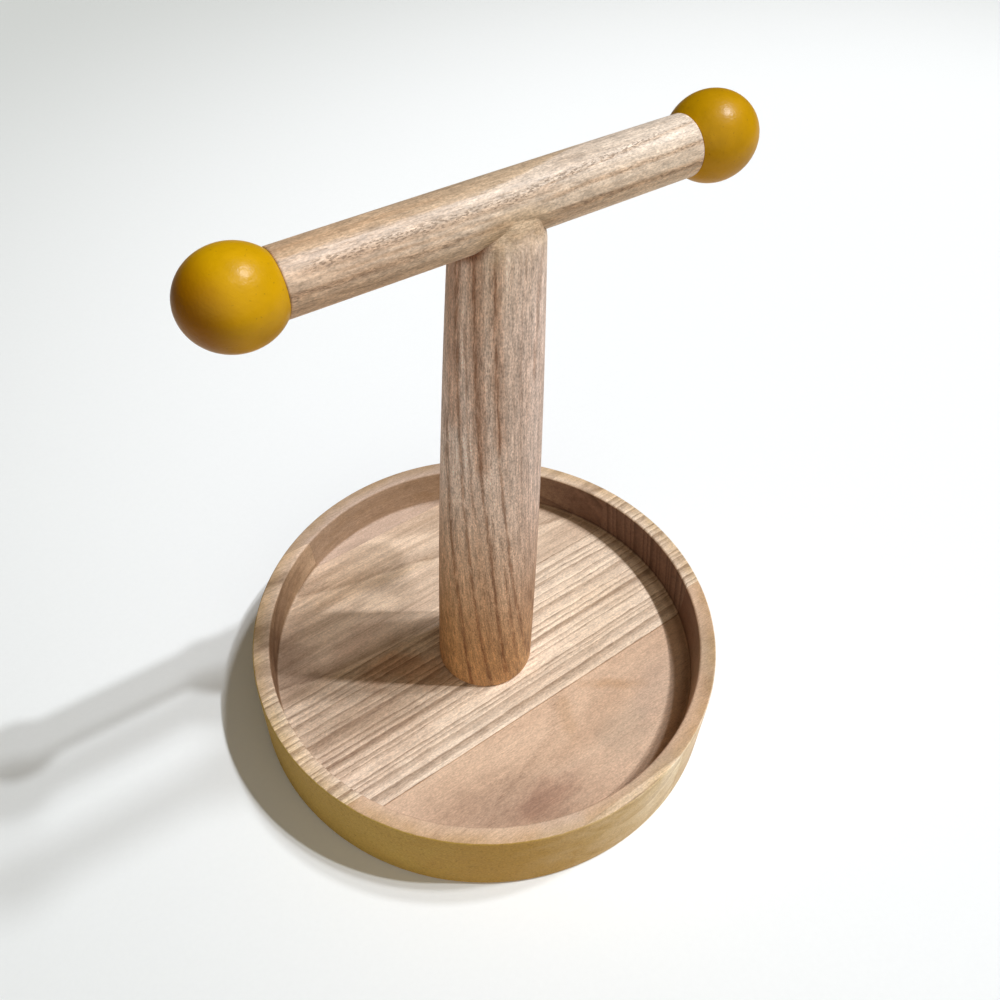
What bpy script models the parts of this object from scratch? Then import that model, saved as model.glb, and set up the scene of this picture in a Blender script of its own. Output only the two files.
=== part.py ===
"""A T-bar jewellery stand: a turned tray of glued boards, a coped post, a crossbar and two balls.

Metres, +Z up. The origin is on the underside of the tray, in its middle. The crossbar runs along X.
"""

import math

import bmesh
import bpy

# Tray: boards glued edge to edge, then turned as one blank
TRAY_RADIUS = 0.0700
TRAY_HEIGHT = 0.0257
FLOOR_THICKNESS = 0.0120
WALL_AT_RIM = 0.0049
WALL_DRAFT = 0.0005
RIM_ROUND = 0.0007
UNDERSIDE_ROUND = 0.0012
FLOOR_COVE = 0.0009

# Boards of the blank: the middle one's width and place, and what the turned edge leaves of the outer two
MIDDLE_BOARD_WIDTH = 0.0436
MIDDLE_BOARD_OFFSET = -0.0043
FRONT_STRIP_DEPTH = 0.0026
REAR_STRIP_DEPTH = 0.0112
GRAIN_ANGLE = math.radians(3.0)
GLUE_LINE = 0.0002

# Post: tapered with a slight swell, turned in at the top to blend into the bar
POST_FOOT_RADIUS = 0.0143
POST_HEAD_RADIUS = 0.0100
POST_SWELL = 0.0010
POST_FOOT_ROUND = 0.0010
NECK_HEIGHT = 0.0070
EAR_THICKNESS = 0.0005

# Crossbar, and how high it is carried
BAR_AXIS_HEIGHT = 0.1685
BAR_LENGTH = 0.0975
BAR_RADIUS = 0.0069
BAR_SWELL = 0.0001
BAR_END_ROUND = 0.0004

# Balls: a little longer along the bar than across it, flatted where they meet the bar's end
BALL_RADIUS = 0.0100
BALL_HALF_LENGTH = 0.0109
BALL_FLAT_RADIUS = 0.0068

# Dowels: round pins with chamfered ends
DOWEL_RADIUS = 0.0030
DOWEL_CHAMFER = 0.0006
BALL_DOWEL_IN_BAR = 0.0110
BALL_DOWEL_IN_BALL = 0.0090
BAR_DOWEL_IN_BAR = 0.0060
BAR_DOWEL_IN_POST = 0.0140

# Screw from below, sunk so that the tray stands flat
SCREW_LENGTH = 0.0400
SCREW_SHANK_RADIUS = 0.0022
SCREW_HEAD_RADIUS = 0.0046
SCREW_HEAD_EDGE = 0.0005
SCREW_TIP = 0.0050
SCREW_SINK = 0.0020
RECESS_LENGTH = 0.0050
RECESS_WIDTH = 0.0011
RECESS_DEPTH = 0.0016

# Clearances between pieces
SEAT_GAP = 0.0003
PIN_FIT = 0.0002
HOLE_END_GAP = 0.0004
SCREW_FIT = 0.0003
DRILL_POINT = math.radians(30.0)

# Facets
TRAY_STEPS = 128
POST_STEPS = 64
BAR_STEPS = 48
BALL_STEPS = 48
PIN_STEPS = 24
ROUND_POINTS = 4
TAPER_POINTS = 8
NECK_POINTS = 5
BAR_POINTS = 6
BALL_POINTS = 15
MERGE = 0.00002
SHARP_ANGLE = math.radians(35.0)
CUTTER_REACH = 0.01


def clear_scene():
    for obj in list(bpy.data.objects):
        bpy.data.objects.remove(obj, do_unlink=True)


def new_collection(name):
    collection = bpy.data.collections.new(name)
    bpy.context.scene.collection.children.link(collection)
    return collection


def material(name, colour, roughness, metallic=0.0):
    mat = bpy.data.materials.new(name)
    mat.use_nodes = True
    shader = mat.node_tree.nodes["Principled BSDF"]
    shader.inputs["Base Color"].default_value = (*colour, 1.0)
    shader.inputs["Roughness"].default_value = roughness
    shader.inputs["Metallic"].default_value = metallic
    mat.diffuse_color = (*colour, 1.0)
    return mat


def arc(centre, radius, start, end, count=ROUND_POINTS):
    """Points of a round from one angle to another, both ends included; an angle of 0 points outwards."""
    points = []
    for i in range(count + 1):
        angle = start + (end - start) * i / count
        points.append((centre[0] + radius * math.cos(angle), centre[1] + radius * math.sin(angle)))
    return points


def turned(name, profile, steps, collection, mat=None):
    """A turned piece: its outline, top to bottom on the outer side, swept round Z by a Screw modifier."""
    mesh = bpy.data.meshes.new(name)
    bm = bmesh.new()
    verts = [bm.verts.new((r, 0.0, z)) for r, z in profile]
    for a, b in zip(verts, verts[1:]):
        bm.edges.new((a, b))
    bm.to_mesh(mesh)
    bm.free()
    return swept(name, mesh, steps, collection, mat)


def swept(name, mesh, steps, collection, mat=None):
    """The Screw modifier on an outline that may be shared by several pieces."""
    obj = bpy.data.objects.new(name, mesh)
    collection.objects.link(obj)
    screw = obj.modifiers.new("turning", "SCREW")
    screw.steps = steps
    screw.render_steps = steps
    screw.use_merge_vertices = True
    screw.merge_threshold = MERGE
    screw.use_smooth_shade = True
    if mat:
        obj.data.materials.append(mat)
    return obj


def cutter(obj):
    obj.hide_render = True
    obj.display_type = "WIRE"
    return obj


def box_cutter(name, size, location, angle=0.0):
    mesh = bpy.data.meshes.new(name)
    bm = bmesh.new()
    bmesh.ops.create_cube(bm, size=1.0)
    bmesh.ops.scale(bm, vec=size, verts=bm.verts)
    bm.to_mesh(mesh)
    bm.free()
    obj = bpy.data.objects.new(name, mesh)
    obj.location = location
    obj.rotation_euler = (0.0, 0.0, angle)
    CUTTERS.objects.link(obj)
    return cutter(obj)


def boolean(obj, tool, operation):
    mod = obj.modifiers.new(operation.lower() + "_" + tool.name, "BOOLEAN")
    mod.operation = operation
    mod.object = tool


def finish_shading(obj):
    """The modifiers' result as a plain mesh, smooth where the piece is round and sharp at its edges."""
    depsgraph = bpy.context.evaluated_depsgraph_get()
    mesh = bpy.data.meshes.new_from_object(obj.evaluated_get(depsgraph))
    obj.modifiers.clear()
    obj.data = mesh
    mesh.name = obj.name
    mesh.shade_smooth()
    mesh.set_sharp_from_angle(angle=SHARP_ANGLE)


def tray_profile():
    """From the middle of the floor out, up the wall, over the rim, down the outside and back under."""
    inner_rim = TRAY_RADIUS - WALL_AT_RIM
    inner_floor = inner_rim - WALL_DRAFT
    up = math.pi / 2
    points = [(0.0, FLOOR_THICKNESS)]
    cove = (inner_floor - FLOOR_COVE, FLOOR_THICKNESS + FLOOR_COVE)
    points += arc(cove, FLOOR_COVE, -up, 0.0)
    points += arc((inner_rim + RIM_ROUND, TRAY_HEIGHT - RIM_ROUND), RIM_ROUND, math.pi, up)
    points += arc((TRAY_RADIUS - RIM_ROUND, TRAY_HEIGHT - RIM_ROUND), RIM_ROUND, up, 0.0)
    edge = (TRAY_RADIUS - UNDERSIDE_ROUND, UNDERSIDE_ROUND)
    points += arc(edge, UNDERSIDE_ROUND, 0.0, -up)
    points.append((0.0, 0.0))
    return points


def board_layout():
    """Each board's name with its lower and upper edge across the grain, from the front to the back."""
    low = MIDDLE_BOARD_OFFSET - MIDDLE_BOARD_WIDTH / 2
    high = MIDDLE_BOARD_OFFSET + MIDDLE_BOARD_WIDTH / 2
    front = FRONT_STRIP_DEPTH - TRAY_RADIUS
    rear = TRAY_RADIUS - REAR_STRIP_DEPTH
    past = TRAY_RADIUS + CUTTER_REACH
    return [
        ("tray_strip_front", -past, front),
        ("tray_board_front", front, low),
        ("tray_board_middle", low, high),
        ("tray_board_back", high, rear),
        ("tray_strip_rear", rear, past),
    ]


def make_tray():
    """One turned outline, and for each board of the blank the part of it that lies in that board."""
    outline = turned("tray_outline", tray_profile(), TRAY_STEPS, CUTTERS)
    hole = turned("screw_hole", screw_hole_profile(), PIN_STEPS, CUTTERS)
    length = 2 * (TRAY_RADIUS + CUTTER_REACH)
    height = 2 * (TRAY_HEIGHT + CUTTER_REACH)
    for name, low, high in board_layout():
        width = high - low - GLUE_LINE
        centre = (low + high) / 2
        place = (-centre * math.sin(GRAIN_ANGLE), centre * math.cos(GRAIN_ANGLE), 0.0)
        plank = box_cutter("plank_" + name, (length, width, height), place, GRAIN_ANGLE)
        board = swept(name, outline.data.copy(), TRAY_STEPS, STAND, BOARD_FINISHES[name])
        boolean(board, plank, "INTERSECT")
        if name == "tray_board_middle":
            boolean(board, hole, "DIFFERENCE")
        finish_shading(board)
    cutter(outline)
    cutter(hole)


def post_radius(z):
    """A straight taper from foot to head, with a slight swell half way up."""
    t = z / BAR_AXIS_HEIGHT
    taper = POST_FOOT_RADIUS + (POST_HEAD_RADIUS - POST_FOOT_RADIUS) * t
    return taper + POST_SWELL * (1.0 - (2.0 * t - 1.0) ** 2)


def bar_radius(x):
    """The crossbar's radius at a distance from its middle: a very slight barrel."""
    return BAR_RADIUS + BAR_SWELL * (1.0 - (2.0 * x / BAR_LENGTH) ** 2)


def post_profile():
    """Dowel hole, top face level with the bar's axis, neck, tapered side, rounded foot, pilot hole."""
    foot = FLOOR_THICKNESS + SEAT_GAP
    top = BAR_AXIS_HEIGHT
    neck = top - NECK_HEIGHT
    cope = bar_radius(0.0) + SEAT_GAP
    top_radius = cope + EAR_THICKNESS
    dowel_hole = DOWEL_RADIUS + PIN_FIT
    hole_bottom = bar_dowel_low() - HOLE_END_GAP
    points = [(0.0, hole_bottom - dowel_hole * math.tan(DRILL_POINT)), (dowel_hole, hole_bottom)]
    points += [(dowel_hole, top), (top_radius, top)]
    shoulder = post_radius(neck)
    for i in range(1, NECK_POINTS):
        t = i / NECK_POINTS
        points.append((top_radius + (shoulder - top_radius) * math.sin(t * math.pi / 2), top - NECK_HEIGHT * t))
    side_low = foot + POST_FOOT_ROUND
    for i in range(TAPER_POINTS + 1):
        z = neck + (side_low - neck) * i / TAPER_POINTS
        points.append((post_radius(z), z))
    round_centre = (post_radius(side_low) - POST_FOOT_ROUND, side_low)
    points += arc(round_centre, POST_FOOT_ROUND, 0.0, -math.pi / 2)[1:]
    pilot = SCREW_SHANK_RADIUS + SCREW_FIT
    pilot_end = SCREW_SINK + SCREW_LENGTH - SCREW_TIP
    points += [(pilot, foot), (pilot, pilot_end)]
    points.append((0.0, SCREW_SINK + SCREW_LENGTH + HOLE_END_GAP + SCREW_FIT))
    return points


def make_post():
    post = turned("post", post_profile(), POST_STEPS, STAND, POST_WOOD)
    bm = bmesh.new()
    radius = bar_radius(0.0) + SEAT_GAP
    depth = 2 * (POST_FOOT_RADIUS + CUTTER_REACH)
    bmesh.ops.create_cone(
        bm, cap_ends=True, segments=BAR_STEPS, radius1=radius, radius2=radius, depth=depth)
    mesh = bpy.data.meshes.new("cope")
    bm.to_mesh(mesh)
    bm.free()
    cope = bpy.data.objects.new("cope", mesh)
    cope.location = (0.0, 0.0, BAR_AXIS_HEIGHT)
    cope.rotation_euler = (0.0, math.pi / 2, 0.0)
    CUTTERS.objects.link(cope)
    boolean(post, cutter(cope), "DIFFERENCE")
    finish_shading(post)


def bar_profile():
    """The bar stood on end: end hole, end face, barrel, the other end face and hole."""
    half = BAR_LENGTH / 2
    hole = DOWEL_RADIUS + PIN_FIT
    depth = BALL_DOWEL_IN_BAR + HOLE_END_GAP
    point = hole * math.tan(DRILL_POINT)
    points = [(0.0, half - depth - point), (hole, half - depth), (hole, half)]
    side = half - BAR_END_ROUND
    end_round = bar_radius(side) - BAR_END_ROUND
    points += arc((end_round, side), BAR_END_ROUND, math.pi / 2, 0.0)
    for i in range(1, BAR_POINTS):
        x = side - 2 * side * i / BAR_POINTS
        points.append((bar_radius(x), x))
    points += arc((end_round, -side), BAR_END_ROUND, 0.0, -math.pi / 2)
    points += [(hole, -half), (hole, depth - half), (0.0, depth - half + point)]
    return points


def make_crossbar():
    bar = turned("crossbar", bar_profile(), BAR_STEPS, STAND, BAR_WOOD)
    bar.location = (0.0, 0.0, BAR_AXIS_HEIGHT)
    bar.rotation_euler = (0.0, math.pi / 2, 0.0)
    hole = DOWEL_RADIUS + PIN_FIT
    hole_top = bar_dowel_high() + HOLE_END_GAP
    below = BAR_AXIS_HEIGHT - bar_radius(0.0) - CUTTER_REACH
    profile = [(0.0, hole_top + hole * math.tan(DRILL_POINT)), (hole, hole_top), (hole, below), (0.0, below)]
    drill = cutter(turned("bar_dowel_hole", profile, PIN_STEPS, CUTTERS))
    boolean(bar, drill, "DIFFERENCE")
    finish_shading(bar)


def ball_flat():
    """Distance from the ball's centre to the flat that meets the bar's end."""
    return BALL_HALF_LENGTH * math.sqrt(1.0 - (BALL_FLAT_RADIUS / BALL_RADIUS) ** 2)


def ball_centre():
    """Distance of each ball's centre from the middle of the bar."""
    return BAR_LENGTH / 2 + SEAT_GAP + ball_flat()


def ball_profile():
    """The ball stood on its flat: outer pole, oval side, flat, and the dowel's blind hole."""
    flat = ball_flat()
    hole = DOWEL_RADIUS + PIN_FIT
    bottom = BALL_DOWEL_IN_BALL + HOLE_END_GAP - flat - SEAT_GAP
    last = math.asin(-flat / BALL_HALF_LENGTH)
    points = [(0.0, BALL_HALF_LENGTH)]
    for i in range(1, BALL_POINTS + 1):
        angle = math.pi / 2 + (last - math.pi / 2) * i / BALL_POINTS
        points.append((BALL_RADIUS * math.cos(angle), BALL_HALF_LENGTH * math.sin(angle)))
    points += [(hole, -flat), (hole, bottom), (0.0, bottom + hole * math.tan(DRILL_POINT))]
    return points


def make_balls():
    for name, side in (("ball_left", -1), ("ball_right", 1)):
        ball = turned(name, ball_profile(), BALL_STEPS, STAND, LACQUER)
        ball.location = (side * ball_centre(), 0.0, BAR_AXIS_HEIGHT)
        ball.rotation_euler = (0.0, side * math.pi / 2, 0.0)
        finish_shading(ball)


def dowel(name, length, location, lying=False):
    """A round dowel with chamfered ends, standing along Z or lying along X."""
    end = length / 2
    profile = [(0.0, end), (DOWEL_RADIUS - DOWEL_CHAMFER, end), (DOWEL_RADIUS, end - DOWEL_CHAMFER)]
    profile += [(r, -z) for r, z in reversed(profile)]
    pin = turned(name, profile, PIN_STEPS, STAND, DOWEL_WOOD)
    pin.location = location
    if lying:
        pin.rotation_euler = (0.0, math.pi / 2, 0.0)
    finish_shading(pin)


def bar_dowel_low():
    """The lower end of the upright dowel, measured down from the bottom of the cope."""
    return BAR_AXIS_HEIGHT - bar_radius(0.0) - SEAT_GAP - BAR_DOWEL_IN_POST


def bar_dowel_high():
    """The upper end of the upright dowel, measured up from the bar's underside."""
    return BAR_AXIS_HEIGHT - bar_radius(0.0) + BAR_DOWEL_IN_BAR


def make_dowels():
    low = bar_dowel_low()
    high = bar_dowel_high()
    dowel("bar_dowel", high - low, (0.0, 0.0, (low + high) / 2))
    length = BALL_DOWEL_IN_BAR + BALL_DOWEL_IN_BALL
    middle = BAR_LENGTH / 2 + (BALL_DOWEL_IN_BALL - BALL_DOWEL_IN_BAR) / 2
    for name, side in (("ball_dowel_left", -1), ("ball_dowel_right", 1)):
        dowel(name, length, (side * middle, 0.0, BAR_AXIS_HEIGHT), lying=True)


def head_depth():
    """Height of the screw's countersunk cone, whose sides slope at 45 degrees."""
    return SCREW_HEAD_RADIUS - SCREW_SHANK_RADIUS


def screw_hole_profile():
    """Clearance hole, countersink and counterbore for the screw, from above the floor to below it."""
    shank = SCREW_SHANK_RADIUS + SCREW_FIT
    head = SCREW_HEAD_RADIUS + SCREW_FIT
    seat = SCREW_SINK + SCREW_HEAD_EDGE
    above = FLOOR_THICKNESS + CUTTER_REACH
    return [(0.0, above), (shank, above), (shank, seat + head_depth()), (head, seat),
            (head, -CUTTER_REACH), (0.0, -CUTTER_REACH)]


def make_screw():
    """The screw stands on its head, point up, with a cross recess in the head."""
    tip = SCREW_SINK + SCREW_LENGTH
    seat = SCREW_SINK + SCREW_HEAD_EDGE
    profile = [(0.0, tip), (SCREW_SHANK_RADIUS, tip - SCREW_TIP), (SCREW_SHANK_RADIUS, seat + head_depth()),
               (SCREW_HEAD_RADIUS, seat), (SCREW_HEAD_RADIUS, SCREW_SINK), (0.0, SCREW_SINK)]
    screw = turned("post_screw", profile, PIN_STEPS, STAND, ZINC)
    middle = (0.0, 0.0, SCREW_SINK)
    along = box_cutter("recess_along", (RECESS_LENGTH, RECESS_WIDTH, 2 * RECESS_DEPTH), middle)
    across = box_cutter("recess_across", (RECESS_WIDTH, RECESS_LENGTH, 2 * RECESS_DEPTH), middle)
    boolean(screw, along, "DIFFERENCE")
    boolean(screw, across, "DIFFERENCE")
    finish_shading(screw)


clear_scene()
STAND = new_collection("t_bar_jewellery_stand")
CUTTERS = new_collection("cutters")

STRIPED_WOOD = material("striped_ash", (0.58, 0.42, 0.28), 0.62)
PLAIN_WOOD = material("plain_ash", (0.50, 0.34, 0.23), 0.62)
FLAME_WOOD = material("flame_ash", (0.52, 0.37, 0.25), 0.62)
PALE_WOOD = material("pale_ash", (0.68, 0.51, 0.34), 0.62)
POST_WOOD = material("post_ash", (0.42, 0.27, 0.18), 0.60)
BAR_WOOD = material("bar_ash", (0.56, 0.41, 0.29), 0.58)
DOWEL_WOOD = material("dowel_beech", (0.60, 0.42, 0.27), 0.65)
LACQUER = material("mustard_lacquer", (0.66, 0.38, 0.01), 0.38)
ZINC = material("zinc_plate", (0.62, 0.60, 0.55), 0.35, 1.0)

BOARD_FINISHES = {
    "tray_strip_front": PALE_WOOD,
    "tray_board_front": PLAIN_WOOD,
    "tray_board_middle": STRIPED_WOOD,
    "tray_board_back": FLAME_WOOD,
    "tray_strip_rear": PLAIN_WOOD,
}

make_tray()
make_post()
make_crossbar()
make_balls()
make_dowels()
make_screw()
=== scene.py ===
# %% [markdown]
# # A wooden T-bar jewellery stand
#
# The stand is a small piece of turnery: a round tray, a tapered post, a crossbar and two painted balls.
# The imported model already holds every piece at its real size, in metres, with the origin under the
# middle of the tray. This script loads that model as a fixed frame and gives it its looks: finer meshes
# where the facets or the glue gaps would show, and wood, paint and lacquer made from nodes.

import math

import bmesh
import bpy
from mathutils import Matrix, Vector


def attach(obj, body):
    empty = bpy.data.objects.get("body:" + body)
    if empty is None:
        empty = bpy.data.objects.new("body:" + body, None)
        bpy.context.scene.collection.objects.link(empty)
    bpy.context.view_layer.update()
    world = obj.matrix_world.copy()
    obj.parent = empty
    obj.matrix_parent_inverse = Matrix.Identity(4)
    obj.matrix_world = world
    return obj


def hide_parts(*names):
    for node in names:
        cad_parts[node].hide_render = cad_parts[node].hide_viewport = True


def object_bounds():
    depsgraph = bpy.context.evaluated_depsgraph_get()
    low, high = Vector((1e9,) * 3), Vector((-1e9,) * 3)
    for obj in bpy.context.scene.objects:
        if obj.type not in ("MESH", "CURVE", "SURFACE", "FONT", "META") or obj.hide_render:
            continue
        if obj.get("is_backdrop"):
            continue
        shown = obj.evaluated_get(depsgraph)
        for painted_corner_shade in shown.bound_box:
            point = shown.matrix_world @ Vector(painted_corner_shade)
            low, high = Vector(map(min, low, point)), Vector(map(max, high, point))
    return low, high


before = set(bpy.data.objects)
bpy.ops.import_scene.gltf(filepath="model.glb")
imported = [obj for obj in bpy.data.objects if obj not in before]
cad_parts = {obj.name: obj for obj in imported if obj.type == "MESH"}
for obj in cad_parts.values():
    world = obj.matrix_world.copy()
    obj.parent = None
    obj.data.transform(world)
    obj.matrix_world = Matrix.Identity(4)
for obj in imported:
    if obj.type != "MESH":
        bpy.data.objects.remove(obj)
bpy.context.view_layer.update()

# %% [markdown]
# ## The camera
#
# The photograph was taken with a phone held above the front left corner and tilted down by about 48
# degrees. A camera can be placed by hand until edges line up, or solved from them. These numbers are
# solved, from the rim's ellipses, the balls and the post: the point on the table in the middle of the
# picture, two angles, a slight roll and the distance.

# %% The camera
LOOK_AT = Vector((0.04536, 0.05893, 0))
AZIMUTH = math.radians(-35.441)
ELEVATION = math.radians(47.647)
ROLL = math.radians(2.376)
DISTANCE = 0.3783
FOCAL_PIXELS = 1013.49
PICTURE_PIXELS = 1000
SENSOR = 36
NEAREST_SEEN = 0.01


def place_camera():
    """The camera on its line of sight, with its own three axes as the columns of its matrix."""
    back = Vector((math.sin(AZIMUTH) * math.cos(ELEVATION), -math.cos(AZIMUTH) * math.cos(ELEVATION),
                   math.sin(ELEVATION)))
    level = Vector((math.cos(AZIMUTH), math.sin(AZIMUTH), 0))
    upright = back.cross(level)
    right = level * math.cos(ROLL) + upright * math.sin(ROLL)
    up = upright * math.cos(ROLL) - level * math.sin(ROLL)
    data = bpy.data.cameras.new("camera")
    data.sensor_width = SENSOR
    data.lens = SENSOR * FOCAL_PIXELS / PICTURE_PIXELS
    data.clip_start = NEAREST_SEEN
    camera = bpy.data.objects.new("camera", data)
    turn = Matrix((right, up, back)).transposed().to_4x4()
    camera.matrix_world = Matrix.Translation(LOOK_AT + back * DISTANCE) @ turn
    bpy.context.scene.collection.objects.link(camera)
    bpy.context.scene.camera = camera
    return camera


camera = place_camera()
print("camera at", [round(v, 4) for v in camera.location], "lens", round(camera.data.lens, 2))

# %% [markdown]
# ## Sums made of nodes
#
# A finish is worked out anew for each point of a piece, so it is a tree of nodes and not a number. Wiring
# nodes one by one would hide what is meant, so a `Value` stands for what a node gives and is added and
# multiplied as in any formula; each sum makes its node. Wherever a value goes, a fixed number may go too.

# %% Values and nodes
class Value:
    """A number, place or colour that a node gives."""

    def __init__(self, socket):
        self.socket = socket
        self.tree = socket.id_data

    __add__ = lambda a, b: maths("ADD", a, b)
    __sub__ = lambda a, b: maths("SUBTRACT", a, b)
    __rsub__ = lambda a, b: maths("SUBTRACT", b, a)
    __mul__ = __rmul__ = lambda a, b: maths("MULTIPLY", a, b)
    __truediv__ = lambda a, b: maths("DIVIDE", a, b)
    __neg__ = lambda a: maths("MULTIPLY", a, -1)
    __abs__ = lambda a: maths("ABSOLUTE", a)


def feed(socket, value):
    """Gives a socket either another node's value or a fixed one."""
    if isinstance(value, Value):
        value.tree.links.new(value.socket, socket)
    else:
        socket.default_value = (*value, 1) if socket.type == "RGBA" else value


def new_node(tree, kind, inputs, output=0, **settings):
    """The value that a new node gives, once its settings are made and its inputs are fed."""
    made = tree.nodes.new("ShaderNode" + kind)
    for name, value in settings.items():
        setattr(made, name, value)
    for key, value in inputs.items():
        feed(made.inputs[key], value)
    return Value(made.outputs[output])


def tree_of(*values):
    """The node tree of the first value among them that isn't a fixed number."""
    return next(value.tree for value in values if isinstance(value, Value))


def maths(operation, a, b=0, c=0):
    return new_node(tree_of(a, b, c), "Math", {0: a, 1: b, 2: c}, operation=operation)


def scaled(value, factor, offset):
    return maths("MULTIPLY_ADD", value, factor, offset)


def distance(a, b):
    """How far a point lies from zero on two places that are measured square to each other."""
    return maths("SQRT", a * a + b * b)


def parts_of(place):
    """A place's three parts: along the grain, across it and through the piece."""
    split = new_node(place.tree, "SeparateXYZ", {0: place}).socket.node
    return [Value(socket) for socket in split.outputs]


# %% [markdown]
# ## Masks, stains and noise
#
# Nearly everything that happens to wood is a stain inside a mask: 1 where it soaked in, 0 where it didn't,
# and a soft edge between. Stains multiply the colour that is there, so the figure under them stays
# visible; only pores and paint replace it. The unevenness comes from noise with a size in millimetres
# along each axis, so that one helper makes long fibres, round blotches and grains of sand.

# %% Soft steps and colours
# A Mix node has sockets for each kind of data, so its colours are reached by their place among them.
COLOUR_A, COLOUR_B, COLOUR_OUT = 6, 7, 2


def step_between(value, low, high):
    """A soft step: 0 up to low, 1 from high on. Swap the two for a step down."""
    before, after = (0, 1) if low < high else (1, 0)
    inputs = {"Value": value, "From Min": min(low, high), "From Max": max(low, high),
              "To Min": before, "To Max": after}
    return new_node(value.tree, "MapRange", inputs, "Result", interpolation_type="SMOOTHSTEP")


def mixed(amount, a, b):
    """The colour a where the amount is 0 and b where it is 1."""
    inputs = {"Factor": amount, COLOUR_A: a, COLOUR_B: b}
    return new_node(tree_of(amount, a, b), "Mix", inputs, COLOUR_OUT, data_type="RGBA")


def tinted(colour, amount, tint):
    """The colour as seen through a thin stain: multiplied by the tint where the amount is 1."""
    stained = new_node(colour.tree, "VectorMath", {0: colour, 1: tint}, operation="MULTIPLY")
    return mixed(amount, colour, stained)


def shaded(colour, amount):
    """A colour made lighter or darker: amount 1 leaves it as it is."""
    return new_node(amount.tree, "VectorMath", {0: colour, "Scale": amount}, operation="SCALE")


# %% Noise
CLOUD_ROUGHNESS = 0.55


def cloud(place, size, detail, seed):
    """Noise from 0 to 1 whose blotches are about size millimetres along each of the three axes."""
    shift = (seed, seed * 1.7, seed * 0.6)
    spot = new_node(place.tree, "VectorMath", {0: place, 1: [1 / s for s in size], 2: shift},
                    operation="MULTIPLY_ADD")
    inputs = {"Vector": spot, "Scale": 1, "Detail": detail, "Roughness": CLOUD_ROUGHNESS}
    return new_node(place.tree, "TexNoise", inputs, "Fac")


def swing(noise, amount):
    """Noise spread evenly to both sides of zero, amount wide altogether."""
    return scaled(noise, amount, -0.5 * amount)


# %% A material and its shader
def new_finish(name, roughness):
    """A material and its shader. The roughness is what shows where nodes aren't read."""
    finish = bpy.data.materials.new(name)
    finish.use_nodes = True
    shader = finish.node_tree.nodes["Principled BSDF"]
    shader.inputs["Roughness"].default_value = roughness
    return finish, shader


def join_up(shader, colour, dull, gloss, height, relief):
    """Gives a shader its colour, uneven shine and bumps: height times relief, in metres."""
    feed(shader.inputs["Base Color"], colour)
    feed(shader.inputs["Roughness"], dull)
    shader.inputs["Specular IOR Level"].default_value = gloss
    bumps = {"Strength": 1, "Distance": relief, "Height": height}
    feed(shader.inputs["Normal"], new_node(height.tree, "Bump", bumps))


# %% [markdown]
# ## Where a point lies in its board
#
# Wood looks right only if its figure runs through the piece: the stripe on the floor has to come out of
# the board's end as end grain. So the figure is worked out in three dimensions, from a place with one axis
# along the grain, one across the board's face and one through it. All the objects stand at the origin, so
# object coordinates are the stand's own.

# %% A place in the grain, in millimetres
MM = 0.001
X_AXIS, Y_AXIS, Z_AXIS = (1, 0, 0), (0, 1, 0), (0, 0, 1)


def facing(tree, output, axis):
    """How far a point, a normal or a direction reaches along an axis."""
    inputs = {0: new_node(tree, "TexCoord", {}, output), 1: axis}
    return new_node(tree, "VectorMath", inputs, "Value", operation="DOT_PRODUCT")


def grain_place(shader, along, across):
    """A point's place along the grain, across it and through the piece."""
    tree = shader.id_data
    along = Vector(along).normalized()
    across = Vector(across).normalized()
    axes = (along, across, along.cross(across))
    return new_node(tree, "CombineXYZ", {i: facing(tree, "Object", axis / MM) for i, axis in enumerate(axes)})


# %% [markdown]
# ## The wood
#
# The boards are a pale, open-grained wood such as ash, sanded and left matt. Its growth rings are shells
# round the middle of the tree: a cut far from the middle gives straight stripes, and one that just grazes
# them gives flames. Between the rings run fine fibres, and along each ring's start lie open pores, which
# show as short dark dashes. A picture of wood could be wrapped round the piece, but it would not meet
# itself at the edges. Shells, fibres and pores made from the place in the grain always do.

# %% Growth rings
# How the rings stray: the look's number that says how far, in millimetres, then the size of the waves
# along, across and through the grain, their detail, and what is added to the look's seed.
RING_WAVES = (
    ("wander", (95, 30, 30), 1, 0),
    ("ripple", (28, 7, 7), 2, 3.1),
    ("fray", (5, 0.5, 0.5), 2, 5.3),
)
YEARS_UNEVEN = 2
YEARS_UNEVEN_EVERY = 0.45
YEAR_END = 0.86


def rings(place, look):
    """Darkness of the ring lines from 0 to 1: it swells slowly through a year and ends sharply."""
    along, across, through = parts_of(place)
    seed = look["seed"]
    a = across + scaled(along, -look["slope"], -look["pith"][0])
    b = through + scaled(along, -look["rise"], -look["pith"][1])
    for name, size, detail, shift in RING_WAVES:
        a = a + swing(cloud(place, size, detail, seed + shift), look[name])
    phase = distance(a, b) / look["gap"]
    inputs = {"W": phase + seed, "Scale": YEARS_UNEVEN_EVERY, "Detail": 1}
    phase = phase + YEARS_UNEVEN * new_node(place.tree, "TexNoise", inputs, "Fac", noise_dimensions="1D")
    part = maths("FRACT", phase)
    line = maths("POWER", part, look["sharp"]) * step_between(part, 1, YEAR_END)
    inputs = {"W": maths("FLOOR", phase + seed)}
    year = new_node(place.tree, "TexWhiteNoise", inputs, "Value", noise_dimensions="1D")
    return line * scaled(year, 1 - look["even"], look["even"])


# %% [markdown]
# ## From fibres to colour
#
# The finer figure is noise at eight scales, stretched along the grain. Some of it only makes the colour a
# little lighter and darker. The rest is cut with a soft step, because a streak or a pore is either there
# or not. The colours are laid on from broad to fine, so that a fine dark pore stays dark on a pale band.

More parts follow.
